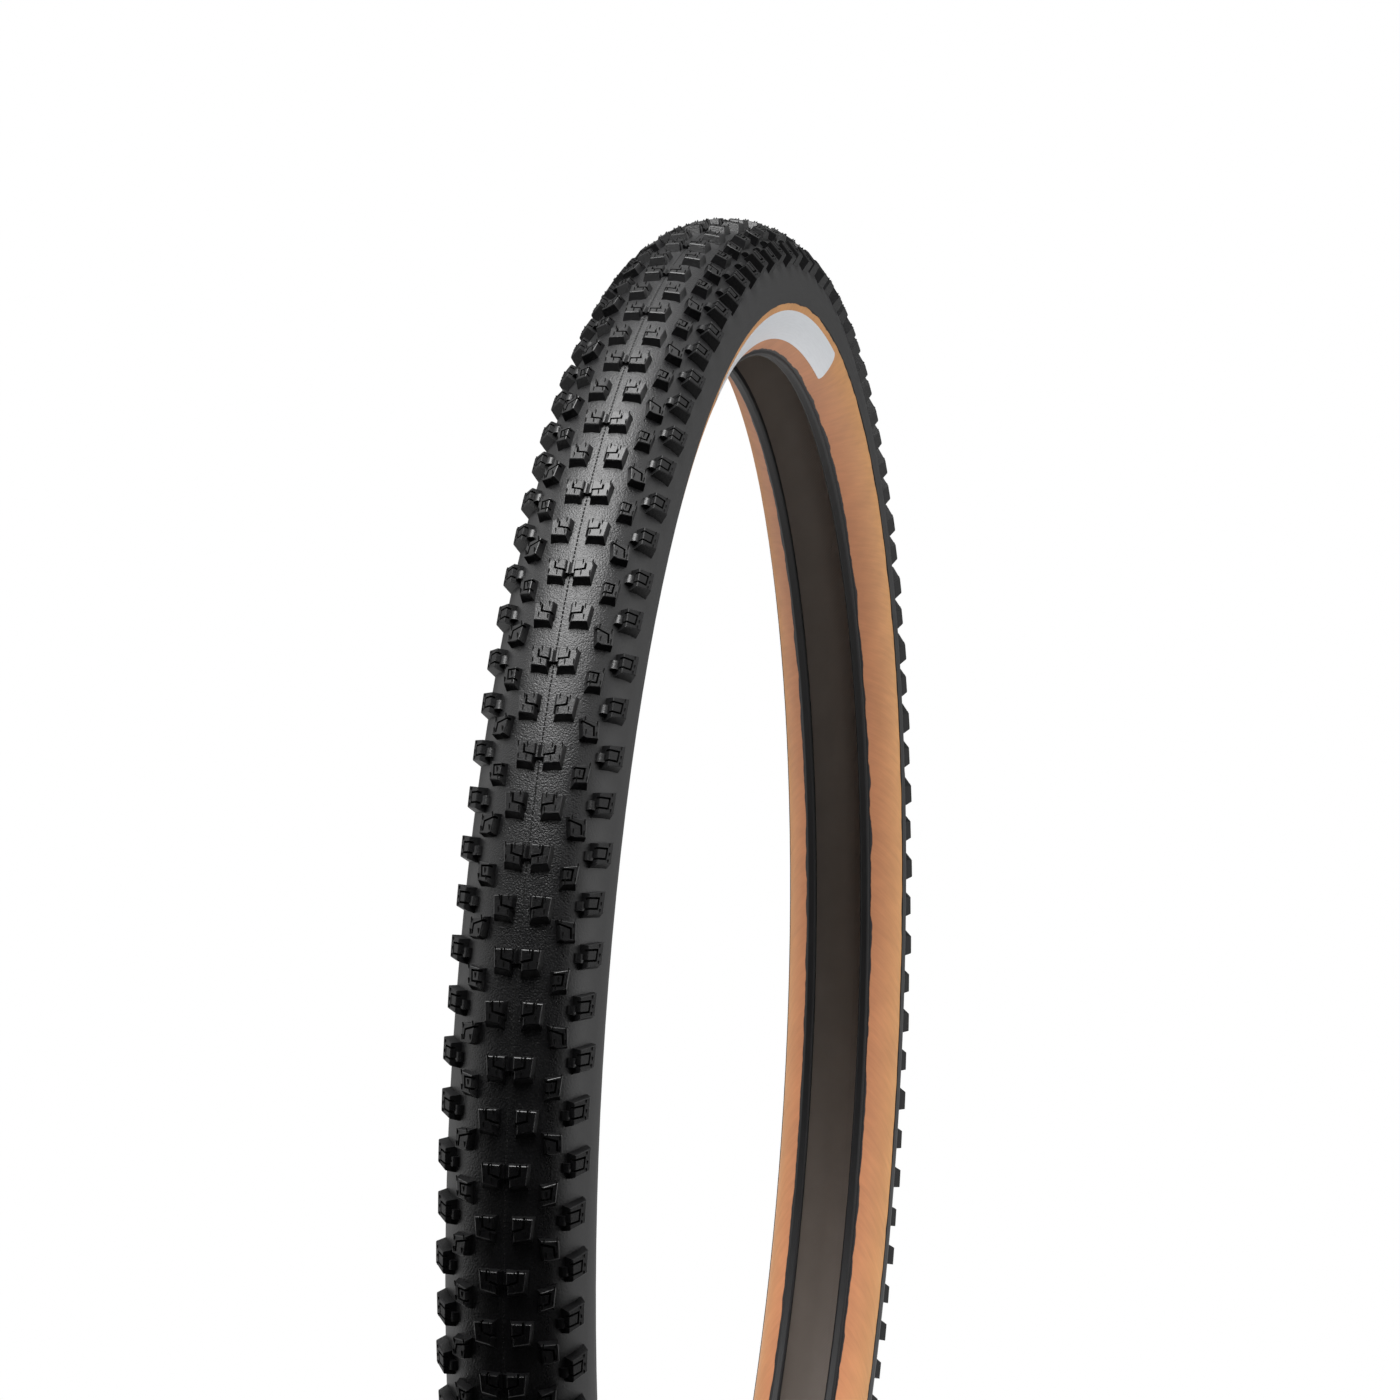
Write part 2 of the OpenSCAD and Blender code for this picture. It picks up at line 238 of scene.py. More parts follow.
# Both tones are painted lighter than the butyl is, as painted fill light inside the tyre
tone = node(butyl, "ShaderNodeMix", {"Factor": butyl_blotch.outputs["Fac"], under: paint("#8b8179"),
            over: paint("#9c9189")}, data_type="RGBA")
dull = node(butyl, "ShaderNodeMapRange", {"Value": butyl_blotch.outputs["Fac"], "To Min": 0.5, "To Max": 0.66})
relief = node(butyl, "ShaderNodeBump", {"Height": ribs.outputs["Fac"], "Strength": 0.25,
              "Distance": 0.0001})
close_finish(butyl, node(butyl, "ShaderNodeBsdfPrincipled", {
    "Base Color": tone.outputs[blend], "Roughness": dull.outputs[0], "Normal": relief.outputs[0],
    "Specular IOR Level": 0.35}))
coat(butyl, "inner_liner")


# ---- Chafers ----
# A strip of smooth black rubber over fine nylon mesh goes round each bead, so that the rim's
# edge doesn't wear through the casing. Its edges are spliced by hand and wander a little.

# The mesh under the rubber shows as a 0.9 mm grid that is just felt, over a satin black.
chafer_radius = 312.0
mesh_gap = 0.9
smear_patch = 9.0
chafer_rubber = new_finish("chafer rubber over mesh")
along, across, out = tyre_places(chafer_rubber, chafer_radius)
strip = node(chafer_rubber, "ShaderNodeCombineXYZ", {"X": along, "Y": across, "Z": out})
warp = node(chafer_rubber, "ShaderNodeTexWave", {"Vector": strip.outputs[0],
            "Scale": wave_run / mesh_gap})
weft = node(chafer_rubber, "ShaderNodeTexWave", {"Vector": strip.outputs[0],
            "Scale": wave_run / mesh_gap}, bands_direction="Y")
mesh_felt = node(chafer_rubber, "ShaderNodeMath", {0: warp.outputs["Fac"], 1: weft.outputs["Fac"]},
                 operation="MULTIPLY")
smear = node(chafer_rubber, "ShaderNodeTexNoise", {"Vector": strip.outputs[0],
             "Scale": 1 / smear_patch, "Detail": 4.0})
tone = node(chafer_rubber, "ShaderNodeMix", {"Factor": smear.outputs["Fac"], under: paint("#121213"),
            over: paint("#1c1c1d")}, data_type="RGBA")
relief = node(chafer_rubber, "ShaderNodeBump", {"Height": mesh_felt.outputs[0], "Strength": 0.2,
              "Distance": 0.0001})
close_finish(chafer_rubber, node(chafer_rubber, "ShaderNodeBsdfPrincipled", {
    "Base Color": tone.outputs[blend], "Roughness": 0.5, "Normal": relief.outputs[0],
    "Specular IOR Level": 0.22}))
coat(chafer_rubber, "chafer_left", "chafer_right")


# ---- Sidewalls ----
# A thin skin of tan rubber covers the cords between the chafer and the tread. It is calendered
# onto the ply and cured in a smooth mould, and the black compounds creep over its two edges.

# Distances from the axle: the middle of the skin, and its edges at the tread and the chafer
skin_radius = 325.0
tread_line = 333.3
chafer_line = 313.8

# Amber rubber over nylon is satin, and yellower near the tread. The cords show through at a
# slant, drawn 1.2 mm apart so that they show, and the skin is mottled along them.
cord_angle = radians(50)
cord_shown = 1.2
streak_wide, streak_long = 2.0, 16.0
cloud_patch = 22.0
tan_skin = new_finish("calendered tan skin")
along, across, out = tyre_places(tan_skin, skin_radius)
skin = node(tan_skin, "ShaderNodeCombineXYZ", {"X": along, "Y": out, "Z": across})
clouds = node(tan_skin, "ShaderNodeTexNoise", {"Vector": skin.outputs[0], "Scale": 1 / cloud_patch,
              "Detail": 4.0})
lay = node(tan_skin, "ShaderNodeMapping", {"Vector": skin.outputs[0],
           "Rotation": (0.0, 0.0, cord_angle)})
drawn = node(tan_skin, "ShaderNodeMapping", {"Vector": lay.outputs[0],
             "Scale": (1 / streak_wide, 1 / streak_long, 0.0)})
streaks = node(tan_skin, "ShaderNodeTexNoise", {"Vector": drawn.outputs[0], "Scale": 1.0,
               "Detail": 5.0})
cords = node(tan_skin, "ShaderNodeTexWave", {"Vector": lay.outputs[0], "Scale": wave_run / cord_shown,
             "Distortion": 0.5})
climb = node(tan_skin, "ShaderNodeMapRange", {"Value": out, "From Min": chafer_line,
             "From Max": tread_line})
depth = node(tan_skin, "ShaderNodeMix", {"Factor": climb.outputs[0], under: paint("#b97a53"),
             over: paint("#c8925c")}, data_type="RGBA")
mottle = node(tan_skin, "ShaderNodeMath", {0: streaks.outputs["Fac"], 1: clouds.outputs["Fac"]},
              operation="ADD")
spread = node(tan_skin, "ShaderNodeMapRange", {"Value": mottle.outputs[0], "From Min": 0.75,
              "From Max": 1.25, "To Min": 0.9, "To Max": 1.08})
mottled_tan = node(tan_skin, "ShaderNodeVectorMath", {0: depth.outputs[blend], "Scale": spread.outputs[0]},
           operation="SCALE")
# The black compounds end in wandering lines along the skin's two edges
wander_patch = 14.0
creep_reach = 0.45
creep_soft = 0.1
wander = node(tan_skin, "ShaderNodeTexNoise", {"Vector": skin.outputs[0], "Scale": 1 / wander_patch,
              "Detail": 3.0})
creep = node(tan_skin, "ShaderNodeMapRange", {"Value": wander.outputs["Fac"], "From Min": 0.3,
             "From Max": 0.7, "To Min": -creep_reach, "To Max": creep_reach})
edge = node(tan_skin, "ShaderNodeMath", {0: out, 1: creep.outputs[0]}, operation="ADD")
above = node(tan_skin, "ShaderNodeMapRange", {"Value": edge.outputs[0],
             "From Min": tread_line - creep_soft, "From Max": tread_line + creep_soft})
below = node(tan_skin, "ShaderNodeMapRange", {"Value": edge.outputs[0],
             "From Min": chafer_line + creep_soft, "From Max": chafer_line - creep_soft})
black = node(tan_skin, "ShaderNodeMath", {0: above.outputs[0], 1: below.outputs[0]},
             operation="MAXIMUM")
skin_tone = node(tan_skin, "ShaderNodeMix", {"Factor": black.outputs[0], under: mottled_tan.outputs[0],
                 over: paint("#19191b")}, data_type="RGBA")
relief = node(tan_skin, "ShaderNodeBump", {"Height": cords.outputs["Fac"], "Strength": 0.12,
              "Distance": 0.0001})
close_finish(tan_skin, node(tan_skin, "ShaderNodeBsdfPrincipled", {
    "Base Color": skin_tone.outputs[blend], "Roughness": 0.5, "Normal": relief.outputs[0],
    "Specular IOR Level": 0.3}))
coat(tan_skin, "sidewall_left", "sidewall_right")


# ---- Tread base ----
# The black rubber that carries the knobs is one extruded strip, cured onto the casing. The mould
# is grained there, and the two halves of the mould leave a dotted line round the crown.

# The tread's section is an arc to each side: its radius, its centre's distance from the axle, and
# how far its centre is from the middle
side_r = 27.0
side_at = 338.7
crown_flat = 1.2
crown = side_at + side_r

# Carbon-black rubber: dark and satin. The mould's 0.5 mm grain, drawn at 0.7 mm so that it
# shows, is strongest at the crown and fades towards the shoulders, which are matt.
grain_size = 0.7
grain_dulls = 0.34
bloom_patch = 25.0
dots = 1150
dot_share = 0.72
dot_half = 0.3
base_rubber = new_finish("grained tread rubber")
along, across, out = tyre_places(base_rubber, crown)
strip = node(base_rubber, "ShaderNodeCombineXYZ", {"X": along, "Y": across, "Z": out})
grain = node(base_rubber, "ShaderNodeTexNoise", {"Vector": strip.outputs[0], "Scale": 1 / grain_size,
             "Detail": 2.0})
bloom = node(base_rubber, "ShaderNodeTexNoise", {"Vector": strip.outputs[0], "Scale": 1 / bloom_patch,
             "Detail": 3.0})
off = node(base_rubber, "ShaderNodeMath", {0: across}, operation="ABSOLUTE")
seam = node(base_rubber, "ShaderNodeMath", {0: off.outputs[0], 1: dot_half}, operation="LESS_THAN")
step = node(base_rubber, "ShaderNodeMath", {0: along, 1: dots / (2 * pi * crown)},
            operation="MULTIPLY")
part = node(base_rubber, "ShaderNodeMath", {0: step.outputs[0]}, operation="FRACT")
dash = node(base_rubber, "ShaderNodeMath", {0: part.outputs[0], 1: dot_share}, operation="LESS_THAN")
dotted = node(base_rubber, "ShaderNodeMath", {0: seam.outputs[0], 1: dash.outputs[0]},
              operation="MULTIPLY")
tone = node(base_rubber, "ShaderNodeMix", {"Factor": bloom.outputs["Fac"], under: paint("#101011"),
            over: paint("#161617")}, data_type="RGBA")
lined = node(base_rubber, "ShaderNodeMix", {"Factor": dotted.outputs[0], under: tone.outputs[blend],
             over: paint("#060606")}, data_type="RGBA")
fade = node(base_rubber, "ShaderNodeMapRange", {"Value": off.outputs[0], "From Min": 9.0,
            "From Max": 24.0, "To Min": 1.0, "To Max": 0.15})
grained = node(base_rubber, "ShaderNodeMath", {0: grain.outputs["Fac"], 1: fade.outputs[0]},
               operation="MULTIPLY")
grooved = node(base_rubber, "ShaderNodeMath", {0: grained.outputs[0], 1: dotted.outputs[0]},
               operation="SUBTRACT")
relief = node(base_rubber, "ShaderNodeBump", {"Height": grooved.outputs[0], "Strength": 0.9,
              "Distance": 0.0003})
dull = node(base_rubber, "ShaderNodeMapRange", {"Value": off.outputs[0], "From Min": 16.0,
            "From Max": 27.0, "To Min": 0.19, "To Max": 0.6})
speckled = node(base_rubber, "ShaderNodeMath", {0: grained.outputs[0], 1: grain_dulls,
                2: dull.outputs[0]}, operation="MULTIPLY_ADD")
matt = node(base_rubber, "ShaderNodeMath", {0: speckled.outputs[0], 1: dotted.outputs[0]},
            operation="MAXIMUM")
close_finish(base_rubber, node(base_rubber, "ShaderNodeBsdfPrincipled", {
    "Base Color": lined.outputs[blend], "Roughness": matt.outputs[0], "Normal": relief.outputs[0]}))
coat(base_rubber, "tread_base")


# ---- Close centre knobs and their tie bars ----
# Each pair of knobs on the crown stands close together and is joined by a low bar. A thin blade
# in the mould leaves an L-shaped slit, and the vents leave thin hairs of rubber that lie back.

# The pattern repeats this often round the tyre
pitches = 58
# The knobs reach this far down into the tread, and their edges stay sharp past this angle
sunk = 0.8
crease = radians(20)
# The blades are thinner away from the crown, and stand up out of the knobs that they cut
crown_slit, outer_slit = 0.9, 0.8
slit_depth = 2.0
blade_proud = 1.0
# The hairs are shorter on the shoulders, are rooted this deep in the knobs, and lie back this far
hair_tall, shoulder_hair_tall = 1.7, 0.9
hair_radius = 0.3
hair_root = 0.4
hair_lean = radians(76)


def only(piece):
    """Selects one piece and makes it the active one."""
    bpy.ops.object.select_all(action="DESELECT")
    piece.select_set(True)
    bpy.context.view_layer.objects.active = piece


def edit(piece):
    """Opens one piece for editing with nothing selected in it."""
    only(piece)
    bpy.ops.object.mode_set(mode="EDIT")
    bpy.ops.mesh.select_mode(type="VERT")
    bpy.ops.mesh.select_all(action="DESELECT")


def pick(piece, wanted):
    """Selects the points of the open piece whose place, in mm, passes a test."""
    mesh = bmesh.from_edit_mesh(piece.data)
    for point in mesh.verts:
        point.select = wanted(point.co / mm)
    mesh.select_flush_mode()
    bmesh.update_edit_mesh(piece.data)


def settle(piece):
    """Closes a piece and applies its place to its mesh."""
    if bpy.context.mode == "EDIT_MESH":
        bpy.ops.object.mode_set(mode="OBJECT")
    only(piece)
    bpy.ops.object.transform_apply(location=True, rotation=True, scale=True)


def draw(points):
    """Draws a line through points, in mm, and leaves its piece open with all of it selected."""
    bpy.ops.mesh.primitive_plane_add(size=mm, location=(0, 0, 0))
    piece = bpy.context.object
    edit(piece)
    bpy.ops.mesh.select_all(action="SELECT")
    bpy.ops.mesh.merge(type="CENTER")
    bpy.ops.transform.translate(value=Vector(points[0]) * mm)
    for start, end in zip(points, points[1:]):
        step = (Vector(end) - Vector(start)) * mm
        bpy.ops.mesh.extrude_vertices_move(TRANSFORM_OT_translate={"value": step})
    bpy.ops.mesh.select_all(action="SELECT")
    return piece


def solid(points, push):
    """Fills the outline through points and pushes it out to a closed solid."""
    piece = draw(points)
    bpy.ops.mesh.edge_face_add()
    bpy.ops.mesh.extrude_region_move(TRANSFORM_OT_translate={"value": Vector(push) * mm})
    bpy.ops.mesh.select_all(action="SELECT")
    bpy.ops.mesh.normals_make_consistent(inside=False)
    return piece


def knob(top, tall, drafts, edge=0.25):
    """A block under a flat top outline, sunk a little into the tread. X is outwards and Y leads.

    The drafts are the slopes of its inner, outer, rear and leading sides, in degrees.
    """
    drop = tall + sunk
    piece = solid([(x, y, tall) for x, y in top], (0, 0, -drop))
    inner, outer, rear, lead = (drop * tan(radians(draft)) for draft in drafts)
    for wanted, x, y in ((lambda place: place.z < 0 and place.x < 0, -inner, 0),
                         (lambda place: place.z < 0 and place.x > 0, outer, 0),
                         (lambda place: place.z < 0 and place.y < 0, 0, -rear),
                         (lambda place: place.z < 0 and place.y > 0, 0, lead)):
        pick(piece, wanted)
        bpy.ops.transform.translate(value=(x * mm, y * mm, 0))
    pick(piece, lambda place: place.z > 0)
    bpy.ops.mesh.bevel(offset=edge * mm, segments=1)
    settle(piece)
    piece.data.materials.append(knob_rubber)
    return piece


def cut_slit(piece, path, top, width):
    """Cuts a slit of a width along a path, as the mould's steel blade does."""
    blade = draw([(x, y, top - slit_depth) for x, y in path])
    blade_tall = (slit_depth + blade_proud) * mm
    bpy.ops.mesh.extrude_edges_move(TRANSFORM_OT_translate={"value": (0, 0, blade_tall)})
    bpy.ops.object.mode_set(mode="OBJECT")
    # The blade's finish passes to the slit's walls: dead black, painted shade in the slit
    blade.data.materials.append(slit_shade_black)
    steel = blade.modifiers.new("thickness", "SOLIDIFY")
    steel.thickness = width * mm
    steel.offset = 0
    steel.use_even_offset = True
    bpy.ops.object.modifier_apply(modifier="thickness")
    only(piece)
    cut = piece.modifiers.new("slit", "BOOLEAN")
    cut.operation = "DIFFERENCE"
    cut.solver = "EXACT"
    cut.material_mode = "TRANSFER"
    cut.object = blade
    bpy.ops.object.modifier_apply(modifier="slit")
    bpy.data.objects.remove(blade)


def add_hairs(piece, spots, top, tall):
    """Joins the hairs of rubber that the vents leave on a knob, rooted in it and laid back."""
    for x, y in spots:
        bpy.ops.mesh.primitive_cylinder_add(vertices=3, radius=hair_radius * mm,
                                            depth=(tall + hair_root) * mm,
                                            location=(0, 0, (tall - hair_root) / 2 * mm))
        hair = bpy.context.object
        settle(hair)
        hair.rotation_euler.x = hair_lean
        hair.location = (x * mm, y * mm, top * mm)
        settle(hair)
        # The hairs take the same dead black, as painted shade
        hair.data.materials.append(slit_shade_black)
        piece.select_set(True)
        bpy.context.view_layer.objects.active = piece
        bpy.ops.object.join()


def stand(piece, angle, at):
    """Stands a knob on the left half of the tread, at an angle across it and a place along it."""
    across = radians(angle)
    turn = at / crown
    seat = Vector((side_at + side_r * cos(across), crown_flat + side_r * sin(across), 0)) * mm
    place = Matrix(((-sin(across), 0, cos(across), seat.x),
                    (cos(across), 0, sin(across), seat.y),
                    (0, 1, 0, 0),
                    (0, 0, 0, 1)))
    piece.matrix_world = Matrix.Rotation(-turn, 4, "Y") @ place
    settle(piece)


def ring_round(piece):
    """Repeats a piece once in each pitch round the wheel."""
    edit(piece)
    bpy.ops.mesh.select_all(action="SELECT")
    bpy.ops.mesh.spin(steps=pitches - 1, dupli=True, angle=2 * pi * (pitches - 1) / pitches,
                      use_auto_merge=False, center=(0, 0, 0), axis=(0, 1, 0))
    bpy.ops.mesh.select_all(action="SELECT")
    bpy.ops.mesh.normals_make_consistent(inside=False)
    bpy.ops.object.mode_set(mode="OBJECT")
    bpy.ops.object.shade_smooth_by_angle(angle=crease)


def dress(piece, name, cad_node):
    """Names a finished piece and lets it stand for its CAD node."""
    piece.name = name
    piece.data.name = name
    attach(piece, "root")
    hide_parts(cad_node)


def both_rings(piece, name, angle, at):
    """Makes the left and the right ring of a knob."""
    stand(piece, angle, at)
    ring_round(piece)
    only(piece)
    bpy.ops.object.duplicate()
    other = bpy.context.object
    other.scale = (1, -1, 1)
    settle(other)
    edit(other)
    bpy.ops.mesh.select_all(action="SELECT")
    bpy.ops.mesh.normals_make_consistent(inside=False)
    bpy.ops.object.mode_set(mode="OBJECT")
    dress(piece, name + "_left_moulded", name + "_left")
    dress(other, name + "_right_moulded", name + "_right")


# The knobs are the same carbon-black rubber from a spark-finished mould: satin black with a slight
# bloom and a fine 0.35 mm tooth, drawn at 0.6 mm so that it shows.
tooth_size = 0.6
bloom_size = 14.0
knob_rubber = new_finish("moulded knob rubber")
place = node(knob_rubber, "ShaderNodeTexCoord").outputs["Object"]
tooth = node(knob_rubber, "ShaderNodeTexNoise", {"Vector": place, "Scale": 1 / mm / tooth_size,
             "Detail": 2.0})
bloom = node(knob_rubber, "ShaderNodeTexNoise", {"Vector": place, "Scale": 1 / mm / bloom_size,
             "Detail": 3.0})
tone = node(knob_rubber, "ShaderNodeMix", {"Factor": bloom.outputs["Fac"], under: paint("#0c0c0d"),
            over: paint("#121213")}, data_type="RGBA")
relief = node(knob_rubber, "ShaderNodeBump", {"Height": tooth.outputs["Fac"], "Strength": 0.9,
              "Distance": 0.00012})
close_finish(knob_rubber, node(knob_rubber, "ShaderNodeBsdfPrincipled", {
    "Base Color": tone.outputs[blend], "Roughness": 0.33, "Normal": relief.outputs[0]}))

# The walls that the blades leave, and the hairs, are rough with tears 0.5 mm across. They are painted
# dead black with little shine, as painted shade inside the slits and round the hairs
tear_size = 0.5
slit_shade_black = new_finish("torn rubber painted black for slit shade")
place = node(slit_shade_black, "ShaderNodeTexCoord").outputs["Object"]
tear = node(slit_shade_black, "ShaderNodeTexNoise", {"Vector": place, "Scale": 1 / mm / tear_size,
            "Detail": 2.0})
tone = node(slit_shade_black, "ShaderNodeMix", {"Factor": tear.outputs["Fac"], under: paint("#050505"),
            over: paint("#0d0d0d")}, data_type="RGBA")
relief = node(slit_shade_black, "ShaderNodeBump", {"Height": tear.outputs["Fac"], "Strength": 0.6,
              "Distance": 0.0001})
close_finish(slit_shade_black, node(slit_shade_black, "ShaderNodeBsdfPrincipled", {
    "Base Color": tone.outputs[blend], "Roughness": 0.85, "Normal": relief.outputs[0],
    "Specular IOR Level": 0.1}))

centre_tall = 2.8
close = knob([(-3.7, -3.9), (3.5, -3.9), (2.8, 3.1), (-3.2, 4.2), (-3.2, 1.3), (-3.7, 0.4)],
             centre_tall, drafts=(6, 17, 10, 33))
cut_slit(close, [(-6, 1.5), (0.4, -0.3), (0.6, -6)], centre_tall, crown_slit)
add_hairs(close, [(3.0, -3.0), (-0.7, -2.7), (2.5, 2.0), (-0.8, 2.6)], centre_tall, hair_tall)
both_rings(close, "centre_knobs_close", angle=8.2, at=-0.6)

# The tie bar is a low saddle with a shallow channel along its middle
tie_tall, tie_long, tie_half = 1.5, 5.2, 2.3
channel_deep, channel_half = 0.7, 0.75
tie_at = -2.0
tie_rear = -tie_long / 2
tie = solid([(-tie_half, tie_rear, -sunk), (-tie_half, tie_rear, tie_tall),
             (-channel_half, tie_rear, tie_tall), (0, tie_rear, tie_tall - channel_deep),
             (channel_half, tie_rear, tie_tall), (tie_half, tie_rear, tie_tall),
             (tie_half, tie_rear, -sunk)], (0, tie_long, 0))
bpy.ops.object.mode_set(mode="OBJECT")
tie.data.materials.append(knob_rubber)
tie.matrix_world = Matrix.Rotation(-tie_at / crown, 4, "Y") @ Matrix((
    (0, 0, 1, crown * mm), (1, 0, 0, 0), (0, 1, 0, 0), (0, 0, 0, 1)))
settle(tie)
ring_round(tie)
dress(tie, "centre_tie_bars_moulded", "centre_tie_bars")


# ---- Wide centre knobs ----
# Between the close pairs stands a pair with a wider gap and no tie bar, so that the crown can
# bend. Its slits turn towards the middle as the others do.

wide = knob([(-2.9, -4.1), (4.4, -3.9), (3.7, 3.4), (-2.4, 4.4), (-2.4, 1.3), (-2.9, 0.4)],
            centre_tall, drafts=(12, 16, 10, 30))
cut_slit(wide, [(-6, 1.6), (1.1, -0.25), (1.4, -6)], centre_tall, crown_slit)
add_hairs(wide, [(2.1, -2.5), (-1.7, -2.6), (2.1, 2.2), (-1.8, 3.1)], centre_tall, hair_tall)
both_rings(wide, "centre_knobs_wide", angle=10.6, at=19.0)


# ---- Square transition knobs ----
# Knobs between the crown and the shoulders help the tyre as it leans. These have a slit that
# crosses them and turns along their outer side towards the leading edge.

transition_tall = 3.3
square = knob([(-2.9, -3.9), (3.9, -3.7), (4.3, 2.8), (0, 3.6), (-1.7, 3.2)], transition_tall,
              drafts=(5, 12, 10, 9), edge=0.2)
cut_slit(square, [(-6, -3.3), (2.0, -1.5), (2.4, 2.3)], transition_tall, outer_slit)
add_hairs(square, [(-1.9, -3.0), (3.1, -2.4), (-0.9, 2.0), (3.3, 2.0)], transition_tall, hair_tall)
both_rings(square, "transition_knobs_square", angle=31.0, at=27.1)


# ---- Skewed transition knobs ----
# The other transition knobs are skewed, with their outer side set back, and a slit cuts a small
# square out of their inner side.

skewed = knob([(-2.6, -2.7), (3.2, -4.2), (2.5, 2.9), (-2.5, 4.1)], transition_tall,
              drafts=(5, 20, 10, 25), edge=0.2)
cut_slit(skewed, [(-6, -1.6), (1.0, -2.3), (0.6, 1.7), (-6, 2.7)], transition_tall, outer_slit)
add_hairs(skewed, [(-0.9, 0.3), (2.7, -3.3), (2.2, 2.2), (-1.8, 3.2)], transition_tall, hair_tall)
both_rings(skewed, "transition_knobs_skewed", angle=30.5, at=5.8)


# ---- Shoulder knobs ----
# The tallest knobs hold the tyre in a corner. Each is skewed, has a slit that cuts a square out
# of its inner side, and stands on a low rounded foot that props it from the middle.

# The mould is coarser at the shoulders, so the knobs there have more tooth and shine less
shoulder_rubber = knob_rubber.copy()
shoulder_rubber.name = "coarse shoulder rubber"
for part in shoulder_rubber.node_tree.nodes:
    if part.type == "BSDF_PRINCIPLED":
        part.inputs["Roughness"].default_value = 0.5
        part.inputs["Specular IOR Level"].default_value = 0.22
    elif part.type == "BUMP":
        part.inputs["Strength"].default_value = 1.0

shoulder_tall = 4.0
foot_tall, foot_run = 1.9, 1.9
foot_back, foot_front = -0.7, 2.9
heel, foot_flat, toe_sunk = -3.4, 0.4, 0.8
foot_steps = 5
for name, angle, at in (("shoulder_knobs_outer", 55, -4.8), ("shoulder_knobs_inner", 52, 15.1)):
    shoulder = knob([(-3.3, -3.8), (4.5, -6.2), (4.2, 2.1), (-3.1, 4.5)], shoulder_tall,
                    drafts=(2, 24, 8, 11), edge=0.3)
    shoulder.data.materials[0] = shoulder_rubber
    cut_slit(shoulder, [(-7, -1.3), (1.5, -2.9), (1.1, 1.2), (-7, 2.8)], shoulder_tall, outer_slit)
    add_hairs(shoulder, [(2.4, -4.3), (2.8, -0.8), (2.4, 1.9)], shoulder_tall, shoulder_hair_tall)
    # The foot is a rounded ramp that starts inside the knob
    curve = [(heel, foot_back, -sunk), (heel, foot_back, foot_tall)]
    for step in range(foot_steps + 1):
        turn = step / foot_steps * pi / 2
        curve.append((heel - foot_flat - foot_run * sin(turn), foot_back, foot_tall * cos(turn)))
    curve.append((curve[-1][0], foot_back, -sunk - toe_sunk))
    foot = solid(curve, (0, foot_front - foot_back, 0))
    settle(foot)
    foot.data.materials.append(knob_rubber)
    shoulder.select_set(True)
    bpy.context.view_layer.objects.active = shoulder
    bpy.ops.object.join()
    both_rings(shoulder, name, angle, at)


# ---- Label ----
# The label is a strip of pale film that is pressed onto the right sidewall while the tyre cures
# in its mould. It is left bare.

# Matt silver-grey film: nearly white, brushed along in faint 0.6 mm lines, with soft highlights.
line_long, line_wide = 12.0, 0.6
film = new_finish("matt silver label film")
along, _, out = tyre_places(film, skin_radius)
strip = node(film, "ShaderNodeCombineXYZ", {"X": along, "Y": out})
drawn = node(film, "ShaderNodeMapping", {"Vector": strip.outputs[0],
             "Scale": (1 / line_long, 1 / line_wide, 0.0)})
brushed = node(film, "ShaderNodeTexNoise", {"Vector": drawn.outputs[0], "Scale": 1.0, "Detail": 3.0})
tone = node(film, "ShaderNodeMix", {"Factor": brushed.outputs["Fac"], under: paint("#d3d6da"),
            over: paint("#e4e7eb")}, data_type="RGBA")
relief = node(film, "ShaderNodeBump", {"Height": brushed.outputs["Fac"], "Strength": 0.1,
              "Distance": 0.0001})
close_finish(film, node(film, "ShaderNodeBsdfPrincipled", {
    "Base Color": tone.outputs[blend], "Roughness": 0.38, "Normal": relief.outputs[0]}))
coat(film, "sidewall_label")


# ---- Studio ----
# The tyre stands upright on a plain white floor that runs out to the horizon. A large soft lamp
# hangs overhead, a weak one stands on the right, and a small one in front lights the inside.
# Black cloth in front keeps glare off the tread.

floor_size = 120.0
floor_gap = 0.0002
floor_top = cad_box[0].z - floor_gap
bpy.ops.object.select_all(action="DESELECT")
bpy.ops.mesh.primitive_plane_add(size=floor_size, location=(0, 0, floor_top))
floor = bpy.context.object
floor.name = "studio_floor"
settle(floor)
# The floor shows as white, and near the tyre it keeps a soft trace of its shadow
shadow_near, shadow_far = 0.25, 0.75
shadow_share = 0.88
white = new_finish("plain white floor")
seen = node(white, "ShaderNodeLightPath")
seen_or_glossy = node(white, "ShaderNodeMath", {0: seen.outputs["Is Camera Ray"],
                      1: seen.outputs["Is Glossy Ray"]}, operation="MAXIMUM")
shown = node(white, "ShaderNodeMath", {0: seen_or_glossy.outputs[0],
             1: seen.outputs["Is Transmission Ray"]}, operation="MAXIMUM")
spot = node(white, "ShaderNodeTexCoord")
away = node(white, "ShaderNodeVectorMath", {0: spot.outputs["Object"]}, operation="LENGTH")
share = node(white, "ShaderNodeMapRange", {"Value": away.outputs["Value"], "From Min": shadow_near,
             "From Max": shadow_far, "To Min": shadow_share, "To Max": 1.0})
white_share = node(white, "ShaderNodeMath", {0: shown.outputs[0], 1: share.outputs[0]},
                   operation="MULTIPLY")
paper = node(white, "ShaderNodeBsdfDiffuse", {"Color": paint("#c9c9c9")})
glow = node(white, "ShaderNodeEmission", {"Color": (1.0, 1.0, 1.0, 1.0), "Strength": 1.0})
close_finish(white, node(white, "ShaderNodeMixShader", {0: white_share.outputs[0], 1: paper.outputs[0],
                         2: glow.outputs[0]}))
floor.data.materials.append(white)

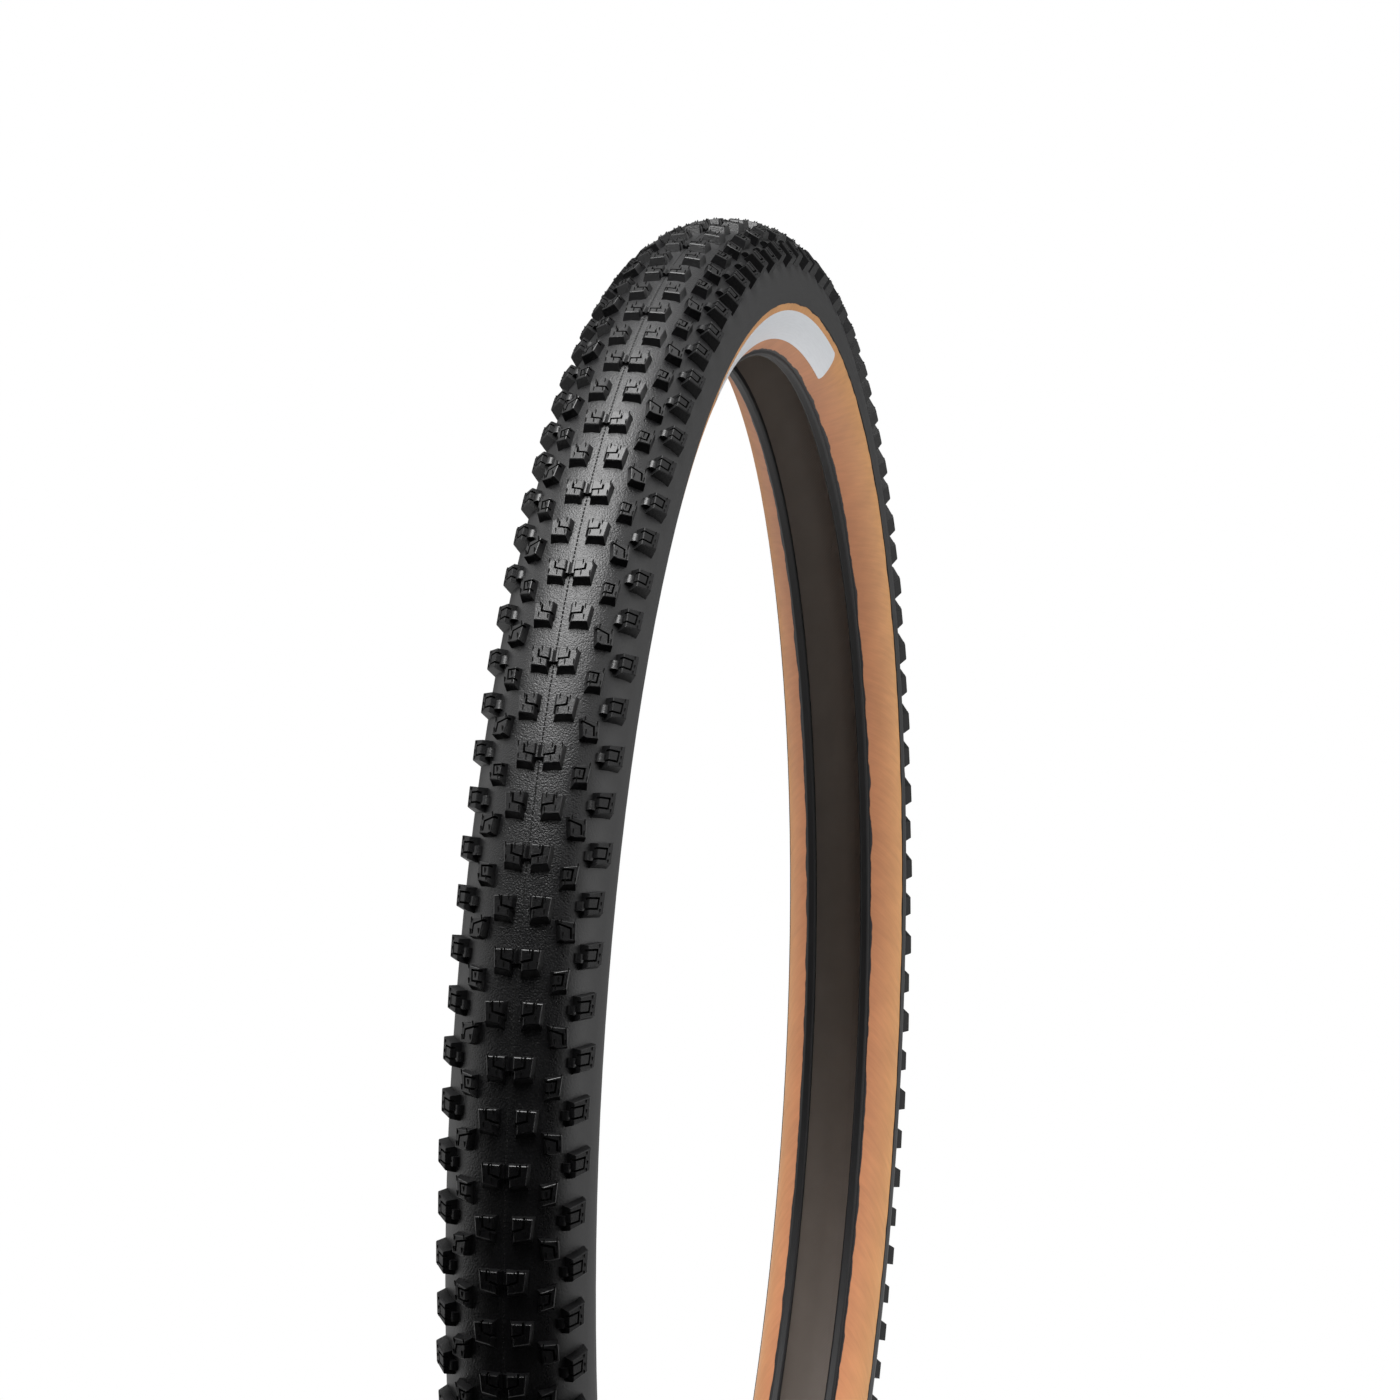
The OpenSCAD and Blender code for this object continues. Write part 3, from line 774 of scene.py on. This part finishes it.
# The black cloth lies on the floor in front of the tyre and then rises. The camera sees through it
cloth_left, cloth_right = 1.8, -3.0
cloth_edge = -0.42
cloth_gap = 0.002
cloth_folds = ((-0.8, 0.0), (-0.2, 0.1), (-0.2, 2.4))
bpy.ops.mesh.primitive_plane_add(size=mm, location=(0, 0, 0))
cloth = bpy.context.object
cloth.name = "black_cloth"
edit(cloth)
bpy.ops.mesh.select_all(action="SELECT")
bpy.ops.mesh.merge(type="CENTER")
bpy.ops.transform.translate(value=(cloth_edge, cloth_right, floor_top + cloth_gap))
for x, z in cloth_folds:
    bpy.ops.mesh.extrude_vertices_move(TRANSFORM_OT_translate={"value": (x, 0, z)})
bpy.ops.mesh.select_all(action="SELECT")
bpy.ops.mesh.extrude_edges_move(TRANSFORM_OT_translate={"value": (0, cloth_left - cloth_right, 0)})
bpy.ops.object.mode_set(mode="OBJECT")
velvet = new_finish("black velvet")
close_finish(velvet, node(velvet, "ShaderNodeBsdfDiffuse", {"Color": paint("#101010")}))
cloth.data.materials.append(velvet)
cloth.visible_camera = False

# A dark grey flat stands behind the tyre, so that its top does not shine. The camera sees through
# it too
flat_size = 3.2
flat_place = (1.7, 0.5, 0.3)
bpy.ops.object.select_all(action="DESELECT")
bpy.ops.mesh.primitive_plane_add(size=flat_size, location=flat_place, rotation=(0, radians(-90), 0))
flat = bpy.context.object
flat.name = "grey_flat"
settle(flat)
felt = new_finish("dark grey felt")
close_finish(felt, node(felt, "ShaderNodeBsdfDiffuse", {"Color": paint("#606060")}))
flat.data.materials.append(felt)
flat.visible_camera = False

# A plain white sky all round fills the shadows
world = bpy.data.worlds.new("studio")
bpy.context.scene.world = world
world.use_nodes = True
world.node_tree.nodes.clear()
sky = node(world, "ShaderNodeBackground", {"Color": (1.0, 1.0, 1.0, 1.0), "Strength": 1.0})
node(world, "ShaderNodeOutputWorld", {"Surface": sky.outputs[0]})


def softbox(name, place, aim, size, power, mirrored=True):
    """Hangs a square soft lamp and points it at a place. Gloss may be told not to mirror it."""
    lamp = bpy.data.lights.new(name, "AREA")
    lamp.size = size
    lamp.energy = power
    box = bpy.data.objects.new(name, lamp)
    box.location = place
    box.visible_glossy = mirrored
    box.visible_camera = False
    box.rotation_euler = (Vector(place) - Vector(aim)).to_track_quat("Z", "Y").to_euler()
    bpy.context.scene.collection.objects.link(box)


softbox("overhead_softbox", (-0.42, 0.15, 2.3), aim=(-0.26, 0, 0.26), size=1.8, power=92)
softbox("right_softbox", (0.2, -2.3, 0.1), aim=(0.1, 0, -0.1), size=1.3, power=10)
softbox("inside_softbox", (-1.5, -0.35, 0.3), aim=(0.33, 0, 0), size=0.4, power=10, mirrored=False)

# The camera looks down on the tread from the front and the right, with a long lens
yaw, pitch, roll = radians(11.745), radians(8.596), radians(0.66)
sight = Vector((0, 0.00441, 0.16418))
distance = 2.4716
back = Vector((-cos(yaw) * cos(pitch), -sin(yaw) * cos(pitch), sin(pitch)))
lens = bpy.data.cameras.new("camera")
lens.lens = 149.1
lens.clip_end = 200.0
camera = bpy.data.objects.new("camera", lens)
camera.matrix_world = (Matrix.Translation(sight + back * distance)
                       @ back.to_track_quat("Z", "Y").to_matrix().to_4x4()
                       @ Matrix.Rotation(roll, 4, "Z"))
bpy.context.scene.collection.objects.link(camera)
bpy.context.scene.camera = camera
bpy.context.scene.view_settings.view_transform = "Standard"
